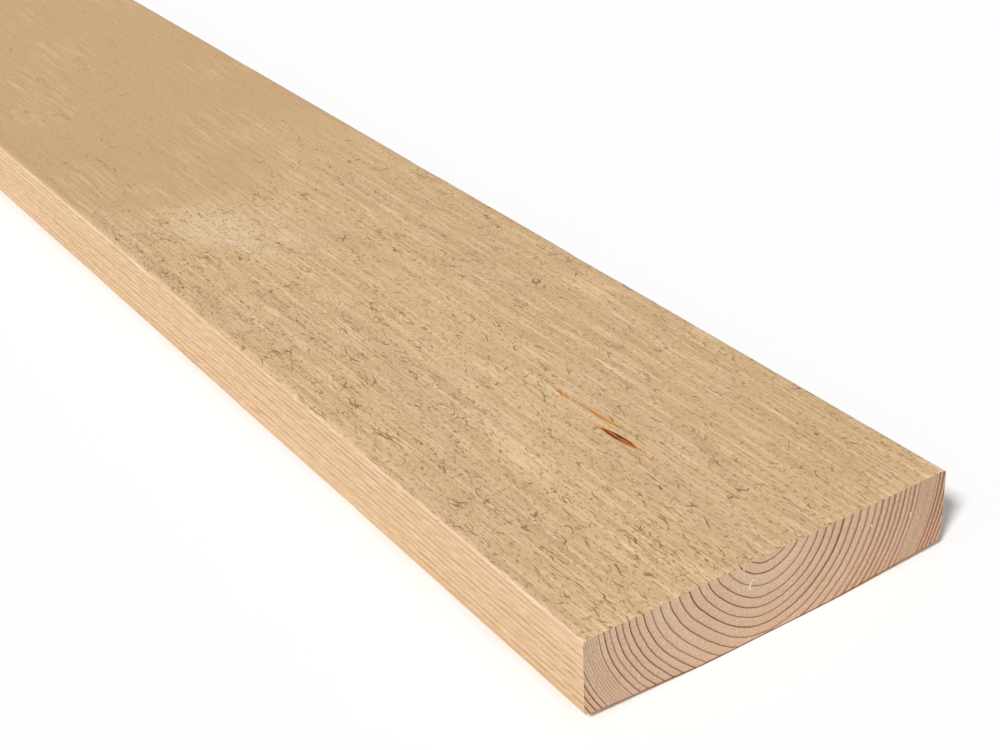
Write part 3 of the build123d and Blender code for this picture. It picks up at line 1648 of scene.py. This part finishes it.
@dataclass(frozen=True)
class CutEndFinish:
    """Crosscut end: pinkish tan end grain with brown latewood lines, softer on the far side, and a
    painted contact shadow along its lower edge.
    """

    library: GrainLibrary
    section: BoardSection
    name: str = "cut_end"
    wood: Colour = paint(214, 183, 156)
    warm: Colour = paint(211, 180, 149)
    shade: Colour = paint(168, 120, 86)
    line: Colour = paint(88, 52, 32)
    rust: Colour = paint(158, 86, 44)
    pale: Colour = paint(234, 208, 184)
    edge: Colour = paint(218, 184, 146)
    # Dark grey of the painted contact shadow along the lower edge.
    foot: Colour = paint(84, 76, 70)
    surface: Surface = Surface((0.75, 0.9), 0.16 * MM, 0.25)
    grain: Weave = Weave(950.0, 950.0, 2.0, 0.7)
    cloud: Weave = Weave(60.0, 60.0, 3.0, 0.6)
    pale_grain: Wash = Wash(0.52, 0.75, 0.5)
    dark_grain: Wash = Wash(0.46, 0.24, 0.4)
    cloud_range: Ramp = Ramp(0.35, 0.65)
    far_side: Ramp = Ramp(-5 * MM, 35 * MM)
    line_width: float = 0.62
    far_width: float = 0.95
    tone_share: float = 0.08
    shade_share: float = 0.34
    far_shade: float = 0.45
    low_side: Ramp = Ramp(24 * MM, 4 * MM)
    rust_share: float = 0.25
    low_rust: float = 0.55
    line_share: float = 0.95
    far_line: float = -0.3
    rim_range: Ramp = Ramp(31.8 * MM, 32.4 * MM)
    rim_raggedness: float = 1.2 * MM
    rim_share: float = 0.5
    # Thickness, edge and strength of the painted contact shadow along the lower edge.
    contact_shadow_thickness: Ramp = Ramp(68 * MM, 42 * MM, 0.1 * MM, 0.6 * MM)
    contact_shadow_edge: Ramp = Ramp(-0.08 * MM, 0.12 * MM)
    contact_shadow_share: float = 0.85

    def contact_shadow_line(self, sheet: Sheet, y: Socket, z: Socket, grain: Socket) -> Socket:
        """Draw the painted contact shadow: a dark line along the lower edge of the end, which
        thins out to the corners.

        Args:
            sheet: The nodes of the finish.
            y: Place across the board.
            z: Height.
            grain: A noise that makes the line ragged.

        Returns:
            The mask, 1 on the line.
        """
        section = self.section
        bend_run = section.bend_radius * math.sin(section.fall_angle())
        across = sheet.maths("ABSOLUTE", y)
        past = sheet.past(across, section.strip_width / 2)
        on_fall = sheet.past(past, bend_run)
        squares = sheet.minus(sheet.squared(past), sheet.squared(on_fall))
        above = sheet.times_plus(squares, -0.5 / section.bend_radius, z)
        thickness = sheet.ramp(across, self.contact_shadow_thickness)
        ragged = sheet.times(thickness, sheet.times_plus(grain, 1.6, 0.2))
        return sheet.ramp(sheet.minus(ragged, above), self.contact_shadow_edge)

    def build(self) -> bpy.types.Material:
        """Make the material.

        Returns:
            The material.
        """
        sheet = FinishSheet(self.name)
        place = sheet.place()
        _, y, z = sheet.split(place)
        plane = sheet.joined(y, z)
        far_side = sheet.ramp(y, self.far_side)
        width = sheet.times_plus(far_side, self.far_width, self.line_width)
        rings = sheet.use(
            self.library.rings,
            Position=place,
            End_X=self.library.end_x,
            Wander=0.0,
            Waver=0.5,
            Line_Width=width,
        ).outputs
        line = rings["Line"]
        grain = sheet.grain(plane, self.grain)
        cloud = sheet.grain(plane, self.cloud)

        colour = sheet.blend(sheet.ramp(cloud, self.cloud_range), self.wood, self.warm)
        colour = sheet.coat(rings["Tone"], self.tone_share, colour, self.shade)
        shaded = sheet.times_plus(far_side, self.far_shade, self.shade_share)
        colour = sheet.coat(rings["Shade"], shaded, colour, self.shade)
        colour = sheet.wash(grain, self.pale_grain, colour, self.pale)
        colour = sheet.wash(grain, self.dark_grain, colour, self.shade)
        rusty = sheet.times_plus(sheet.ramp(z, self.low_side), self.low_rust, self.rust_share)
        ink = sheet.blend(rusty, self.line, self.rust)
        inked = sheet.times_plus(far_side, self.far_line, self.line_share)
        colour = sheet.coat(line, inked, colour, ink)
        rim = sheet.ramp(sheet.times_plus(grain, self.rim_raggedness, z), self.rim_range)
        colour = sheet.coat(rim, self.rim_share, colour, self.edge)
        # Painted contact shadow: a dark line along the lower edge, where the end meets the floor.
        foot = self.contact_shadow_line(sheet, y, z, cloud)
        colour = sheet.coat(foot, self.contact_shadow_share, colour, self.foot)
        height = sheet.heap(((grain, 0.6), (line, 0.6)))
        return sheet.settle(colour, grain, height, self.surface)


@dataclass(frozen=True)
class TornFibreFinish:
    """Lifted ends of torn fibres, from dark olive brown to pale, one tone to each."""

    name: str = "torn_fibre"
    dark: Colour = paint(150, 118, 78)
    middle: Colour = paint(190, 158, 115)
    pale: Colour = paint(232, 206, 164)
    surface: Surface = Surface((0.8, 0.95), 0.08 * MM, 0.2)
    fleck: Weave = Weave(600.0, 1800.0, 2.0)

    def build(self) -> bpy.types.Material:
        """Make the material.

        Returns:
            The material.
        """
        sheet = FinishSheet(self.name)
        lot = sheet.node("ShaderNodeNewGeometry").outputs["Random Per Island"]
        colour = sheet.blend(sheet.spread(lot, 0.05, 0.75), self.dark, self.middle)
        colour = sheet.blend(sheet.spread(lot, 0.84, 0.9), colour, self.pale)
        fleck = sheet.grain(sheet.place(), self.fleck)
        colour = sheet.blend(sheet.spread(fleck, 0.45, 0.75, 0.0, 0.4), colour, self.middle)
        return sheet.settle(colour, fleck, fleck, self.surface)


@dataclass(frozen=True)
class MottledFinish:
    """A finish of two colours that one noise mixes, such as set resin or a torn sliver."""

    name: str
    first: Colour
    second: Colour
    mottle: Weave
    mixed_over: Point
    surface: Surface

    def build(self) -> bpy.types.Material:
        """Make the material.

        Returns:
            The material.
        """
        sheet = FinishSheet(self.name)
        fleck = sheet.grain(sheet.place(), self.mottle)
        colour = sheet.blend(sheet.spread(fleck, *self.mixed_over), self.first, self.second)
        return sheet.settle(colour, fleck, fleck, self.surface)


SLIVER_WOOD = MottledFinish(
    "end_sliver",
    first=paint(232, 220, 206),
    second=paint(214, 192, 170),
    mottle=Weave(900.0, 900.0, 2.0),
    mixed_over=(0.4, 0.65),
    surface=Surface((0.6, 0.85), 0.05 * MM),
)
RESIN_BLOTCH = Weave(110.0, 1300.0, 2.0)
RESIN_SURFACE = Surface((0.4, 0.65), 0.15 * MM, 0.12)
THICK_RESIN = MottledFinish(
    "pocket_resin",
    first=paint(100, 48, 28),
    second=paint(172, 96, 50),
    mottle=RESIN_BLOTCH,
    mixed_over=(0.4, 0.56),
    surface=RESIN_SURFACE,
)
THIN_RESIN = MottledFinish(
    "seam_resin",
    first=paint(184, 114, 34),
    second=paint(206, 144, 60),
    mottle=RESIN_BLOTCH,
    mixed_over=(0.4, 0.56),
    surface=RESIN_SURFACE,
)


@dataclass
class TornFibres(DressPiece):
    """Fibres that the saw tore up and left lying on the top face, as one joined mesh.

    Each fibre is a run of four-sided rings between two points. Lengths, widths and heights
    are in millimetres, and headings in degrees from the grain.
    """

    count: int = 1500
    seed: int = 20
    rings: int = 4
    margin: float = 7 * MM
    clear_of_hollows: float = 1.8
    clump_rates: Point = (28.0, 45.0)
    lengths: Point = (1.2, 3.4)
    long_share: float = 0.2
    long_stretch: float = 1.5
    widths: Point = (0.18, 0.36)
    heading: Point = (-18, 32)
    curls: Point = (0.2, 1.6)
    heights: Point = (0.05, 0.2)
    rim_sunk: float = 0.03 * MM
    keel_sunk: float = 0.12 * MM

    def crowd(self, back: float, y: float) -> float:
        """Give how crowded the fibres lie.

        Args:
            back: Distance back from the sawn end.
            y: Place across the board.

        Returns:
            The crowding, 0 to 1 or a little more.
        """
        near_left = ease(y, 50 * MM, -40 * MM)
        near_end = ease(back, 420 * MM, 150 * MM)
        clump = 0.5 + ripple(back, y, self.clump_rates, 2.0)
        return (0.22 + 0.78 * near_left * near_end) * max(clump, 0.05)

    def spine(self, draw: random.Random, x: float, y: float) -> list[tuple[float, ...]]:
        """Run the curved middle line of one fibre.

        Args:
            draw: Source of the fibre's own sizes.
            x: Place of its start along the board.
            y: Place of its start across it.

        Returns:
            Place along and across, heading, half the width and the height at each point.
        """
        stretch = draw.uniform(*self.lengths) * MM
        length = stretch * (self.long_stretch if draw.random() < self.long_share else 1.0)
        width = draw.uniform(*self.widths) * MM
        heading = math.radians(draw.gauss(*self.heading))
        curl = draw.choice((-1, 1)) * draw.uniform(*self.curls)
        stands = draw.uniform(*self.heights) * MM
        steps = self.rings + 1
        spine = []
        for k in range(steps + 1):
            share = k / steps
            aim = heading + curl * share**2
            swell = math.sin(math.pi * share)
            spine.append((x, y, aim, width / 2 * swell, stands * swell))
            x += math.cos(aim) * length / steps
            y += math.sin(aim) * length / steps
        return spine

    def lay(
        self,
        spine: list[tuple[float, ...]],
        vertices: list[Place],
        faces: list[Corners],
    ) -> None:
        """Lay one curved, tapered fibre on the face.

        Args:
            spine: The fibre's middle line.
            vertices: All points so far.
            faces: All faces so far.
        """
        start = len(vertices)
        ceiling = self.relief.section.thickness
        for x, y, aim, half, stands in spine[1:-1]:
            side_x, side_y = -math.sin(aim) * half, math.cos(aim) * half
            ground = self.relief.top_height(x, y)
            vertices.append((x + side_x, y + side_y, ground - self.rim_sunk))
            vertices.append((x, y, min(ground + stands, ceiling)))
            vertices.append((x - side_x, y - side_y, ground - self.rim_sunk))
            vertices.append((x, y, ground - self.keel_sunk))
        first = len(vertices)
        for x, y, *_ in (spine[0], spine[-1]):
            vertices.append((x, y, self.relief.top_height(x, y) - self.rim_sunk))
        for k in range(4):
            after = (k + 1) % 4
            faces.append((first, start + after, start + k))
            for ring in range(start, first - 4, 4):
                faces.append((ring + k, ring + after, ring + 4 + after, ring + 4 + k))
            faces.append((first - 4 + k, first - 4 + after, first + 1))

    def build(self) -> bpy.types.Object:
        """Scatter the fibres and join them.

        Returns:
            The fibres as one mesh object.
        """
        draw = random.Random(self.seed)
        half = self.relief.length / 2
        reach = half - self.margin
        flat = self.relief.section.width / 2 - self.margin
        vertices: list[Place] = []
        faces: list[Corners] = []
        laid = 0
        while laid < self.count:
            x = draw.uniform(-reach, reach)
            y = draw.uniform(-flat, flat)
            shares = (hollow.share(x - half, y) for hollow in HOLLOWS)
            in_hollow = any(share < self.clear_of_hollows for share in shares)
            if in_hollow or draw.random() > self.crowd(half - x, y):
                continue
            self.lay(self.spine(draw, x, y), vertices, faces)
            laid += 1
        return self.join(vertices, faces)


@dataclass(frozen=True)
class Sliver:
    """One sliver on the sawn end: where it starts and stops, across and up, and its width.

    The measures are in millimetres. Its shape is a share of the length and of half the width
    at each corner.
    """

    y0: float
    z0: float
    y1: float
    z1: float
    width: float
    shape: tuple[Point, ...] = (
        (0.0, 0.0),
        (0.3, 0.8),
        (0.8, 1.0),
        (1.0, 0.0),
        (0.8, -1.0),
        (0.3, -0.8),
    )

    def outline(self) -> list[Point]:
        """Draw the sliver as a flat bar with pointed ends, seen from outside the end.

        Returns:
            The corners of its outline, in metres.
        """
        run, rise = self.y1 - self.y0, self.z1 - self.z0
        length = math.hypot(run, rise)
        side_y, side_z = rise / length * self.width / 2, -run / length * self.width / 2
        corners = []
        for share, half in self.shape:
            y, z = self.y0 + run * share, self.z0 + rise * share
            corners.append(((y + side_y * half) * MM, (z + side_z * half) * MM))
        return corners


@dataclass
class EndSlivers(DressPiece):
    """Small slivers that the crosscut saw left lying on the sawn end, as one joined mesh."""

    slivers: tuple[Sliver, ...] = (
        Sliver(-9.2, 24.5, -10.9, 21.9, 0.42),
        Sliver(-10.9, 22.2, -10.1, 20.7, 0.5),
        Sliver(-13.3, 31.0, -13.2, 29.2, 0.3),
        Sliver(10.4, 30.4, 11.2, 30.0, 0.4),
        Sliver(40.9, 23.9, 41.5, 22.8, 0.5),
        Sliver(59.1, 21.0, 59.4, 18.9, 0.5),
        Sliver(60.3, 14.9, 60.7, 13.8, 0.4),
    )
    thickness: float = 0.13 * MM
    bedded: float = 0.1 * MM
    held_back: float = 0.01 * MM

    def build(self) -> bpy.types.Object:
        """Lay each sliver flat on the end.

        Returns:
            The slivers as one mesh object.
        """
        vertices: list[Place] = []
        faces: list[Corners] = []
        end = self.relief.length / 2
        back, front = end - self.thickness - self.bedded, end - self.held_back
        for sliver in self.slivers:
            outline = sliver.outline()
            start, count = len(vertices), len(outline)
            vertices.extend((back, y, z) for y, z in outline)
            vertices.extend((front, y, z) for y, z in outline)
            faces.append(tuple(start + k for k in reversed(range(count))))
            faces.append(tuple(start + count + k for k in range(count)))
            for k in range(count):
                near, after = start + k, start + (k + 1) % count
                faces.append((near, after, after + count, near + count))
        return self.join(vertices, faces)


@dataclass
class Resin(DressPiece):
    """Resin left in some hollows of the top face: thin uneven beads that follow the lenses."""

    hollows: tuple[LensHollow, ...]
    steps_along: int = 28
    steps_across: int = 6
    reach: float = 0.86
    bed_depth: float = 0.15 * MM
    fill: float = 0.4
    ripple_rates: Point = (500.0, 900.0)

    def point(self, hollow: LensHollow, u: float, v: float, upper: bool) -> Place:
        """Place a point of a bead.

        Args:
            hollow: The hollow that the bead lies in.
            u: Place along the lens, -1 to 1.
            v: Place across it, -1 to 1.
            upper: True on the bead's skin, False on its bed.

        Returns:
            The point.
        """
        along = u * self.reach * hollow.length / 2
        across = v * self.reach * hollow.width / 2 * (1 - u * u)
        cosine = math.cos(math.radians(hollow.turn))
        sine = math.sin(math.radians(hollow.turn))
        x = self.relief.length / 2 - hollow.from_end + along * cosine - across * sine
        y = hollow.from_centre + along * sine + across * cosine
        bed = self.relief.top_height(x, y)
        if not upper:
            return x, y, bed - self.bed_depth
        swell = 0.5 + 0.5 * ripple(x, y, self.ripple_rates, 1.0)
        body = (1 - v * v) * (1 - u * u)
        return x, y, bed + hollow.depth * self.fill * body * (0.5 + swell)

    def fill_hollow(
        self, hollow: LensHollow, vertices: list[Place], faces: list[Corners]
    ) -> None:
        """Lay the bead of one hollow, closed all round.

        Args:
            hollow: The hollow.
            vertices: All points so far.
            faces: All faces so far.
        """
        start = len(vertices)
        row = self.steps_across + 1
        for upper in (True, False):
            for i in range(self.steps_along + 1):
                u = 2 * (i + 0.5) / (self.steps_along + 1) - 1
                for j in range(row):
                    v = 2 * j / self.steps_across - 1
                    vertices.append(self.point(hollow, u, v, upper))
        below = (self.steps_along + 1) * row
        for i in range(self.steps_along):
            for j in range(self.steps_across):
                a = start + i * row + j
                faces.append((a, a + row, a + row + 1, a + 1))
                faces.append((a + below, a + below + 1, a + below + row + 1, a + below + row))
            for j in (0, self.steps_across):
                a = start + i * row + j
                wall = (a, a + below, a + below + row, a + row)
                faces.append(wall if j == 0 else wall[::-1])
        for i in (0, self.steps_along):
            for j in range(self.steps_across):
                a = start + i * row + j
                wall = (a, a + 1, a + below + 1, a + below)
                faces.append(wall if i == 0 else wall[::-1])

    def build(self) -> bpy.types.Object:
        """Fill each hollow and join the beads.

        Returns:
            The resin as one mesh object.
        """
        vertices: list[Place] = []
        faces: list[Corners] = []
        for hollow in self.hollows:
            self.fill_hollow(hollow, vertices, faces)
        resin = self.join(vertices, faces)
        resin.data.polygons.foreach_set("use_smooth", [True] * len(faces))
        resin.data.update()
        return resin


@dataclass(frozen=True)
class Studio:
    """White floor, soft light all round, a soft sun from the camera's side and the camera.

    Angles are in degrees. An azimuth turns from the near edge's side to the sawn end's.
    """

    camera_place: Place = (1.2234, -0.30833, 0.35155)
    camera_azimuth: float = 57.12
    camera_elevation: float = 29.93
    camera_roll: float = -2.636
    lens: float = 62.65
    sky_strength: float = 0.325
    sun_strength: float = 3.03
    sun_azimuth: float = 29.0
    sun_elevation: float = 45.0
    sun_softness: float = 10.0
    floor_half: float = 6.0
    floor_glow: float = 0.05
    floor_white: Colour = (0.93, 0.93, 0.935, 1.0)
    white: Colour = (1.0, 1.0, 1.0, 1.0)

    def floor(self) -> None:
        """Lay the floor that the board rests on."""
        half = self.floor_half
        corners = [(-half, -half, 0), (half, -half, 0), (half, half, 0), (-half, half, 0)]
        mesh = bpy.data.meshes.new("floor")
        mesh.from_pydata(corners, [], [(0, 1, 2, 3)])
        floor = bpy.data.objects.new("floor", mesh)
        bpy.context.scene.collection.objects.link(floor)
        sheet = FinishSheet("floor_white")
        inputs = sheet.shader.inputs
        inputs["Base Color"].default_value = self.floor_white
        inputs["Roughness"].default_value = 1.0
        inputs["Specular IOR Level"].default_value = 0.0
        inputs["Emission Color"].default_value = self.white
        glow = sheet.times(self.seen_share(sheet), self.floor_glow)
        sheet.feed(inputs["Emission Strength"], glow)
        mesh.materials.append(sheet.material)

    @staticmethod
    def seen_share(sheet: Sheet) -> Socket:
        """Tell rays that the camera, a gloss or a glass sends from those that carry light.

        Args:
            sheet: The nodes of the finish.

        Returns:
            1 for rays that are seen, 0 for those that carry light.
        """
        path = sheet.node("ShaderNodeLightPath").outputs
        seen = sheet.larger(path["Is Camera Ray"], path["Is Glossy Ray"])
        return sheet.larger(seen, path["Is Transmission Ray"])

    def sky(self) -> None:
        """Light the board evenly from all round, on a white background."""
        world = bpy.data.worlds.new("sky")
        world.use_nodes = True
        bpy.context.scene.world = world
        sheet = Sheet(world.node_tree)
        background = next(node for node in sheet.tree.nodes if node.type == "BACKGROUND")
        background.inputs["Color"].default_value = self.white
        strength = sheet.spread(self.seen_share(sheet), 0.0, 1.0, self.sky_strength, 1.0)
        sheet.feed(background.inputs["Strength"], strength)

    @staticmethod
    def aimed(azimuth: float, elevation: float) -> Vector:
        """Point away from the board.

        Args:
            azimuth: Angle round the board.
            elevation: Angle above the floor.

        Returns:
            The direction, one unit long.
        """
        turn, rise = math.radians(azimuth), math.radians(elevation)
        level = math.cos(rise)
        return Vector((math.sin(turn) * level, -math.cos(turn) * level, math.sin(rise)))

    def sun(self) -> None:
        """Hang the soft sun that throws the board's shadow to the far side."""
        light = bpy.data.lights.new("soft_sun", "SUN")
        light.energy = self.sun_strength
        light.angle = math.radians(self.sun_softness)
        holder = bpy.data.objects.new("soft_sun", light)
        toward = self.aimed(self.sun_azimuth, self.sun_elevation)
        holder.location = toward * 3
        holder.rotation_mode = "QUATERNION"
        holder.rotation_quaternion = (-toward).to_track_quat("-Z", "Y")
        bpy.context.scene.collection.objects.link(holder)

    def camera(self) -> None:
        """Set the camera up where the photographer stood."""
        data = bpy.data.cameras.new("camera")
        data.sensor_width = 36.0
        data.lens = self.lens
        data.clip_start = 0.01
        data.clip_end = 50.0
        camera = bpy.data.objects.new("camera", data)
        back = self.aimed(self.camera_azimuth, self.camera_elevation)
        roll = Quaternion((0.0, 0.0, 1.0), math.radians(self.camera_roll))
        camera.location = self.camera_place
        camera.rotation_mode = "QUATERNION"
        camera.rotation_quaternion = (-back).to_track_quat("-Z", "Y") @ roll
        bpy.context.scene.collection.objects.link(camera)
        bpy.context.scene.camera = camera

    def build(self) -> None:
        """Set up the whole studio."""
        self.floor()
        self.sky()
        self.sun()
        self.camera()
        bpy.context.scene.view_settings.view_transform = "Standard"


def report(made: bpy.types.Object) -> None:
    """Log a piece's name and the number of its triangles."""
    triangles = sum(len(face.vertices) - 2 for face in made.data.polygons)
    LOG.info("%s: %d triangles", made.name, triangles)


def main() -> None:
    """Build the board's dress and the studio in order, and write how large it came out."""
    logging.basicConfig(level=logging.INFO, format="%(name)s: %(message)s")
    low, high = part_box(NODE)
    section = BoardSection(width=high.y - low.y, thickness=high.z - low.z)
    relief = SawnRelief(high.x - low.x, section)
    library = GrainLibrary(high.x)
    sawn = (SawnFaceFinish(library), SawnEdgeFinish(library), CutEndFinish(library, section))
    for piece, finishes in (
        (PlankBody("plank_body", relief), sawn),
        (TornFibres("torn_fibres", relief), (TornFibreFinish(),)),
        (EndSlivers("end_slivers", relief), (SLIVER_WOOD,)),
        (Resin("pocket_resin", relief, (POCKET,)), (THICK_RESIN,)),
        (Resin("seam_resin", relief, (LONG_SEAM, SHORT_SEAM)), (THIN_RESIN,)),
    ):
        made = piece.build()
        piece.dress(made, [finish.build() for finish in finishes])
        report(made)
    Studio().build()


if __name__ == "__main__":
    main()
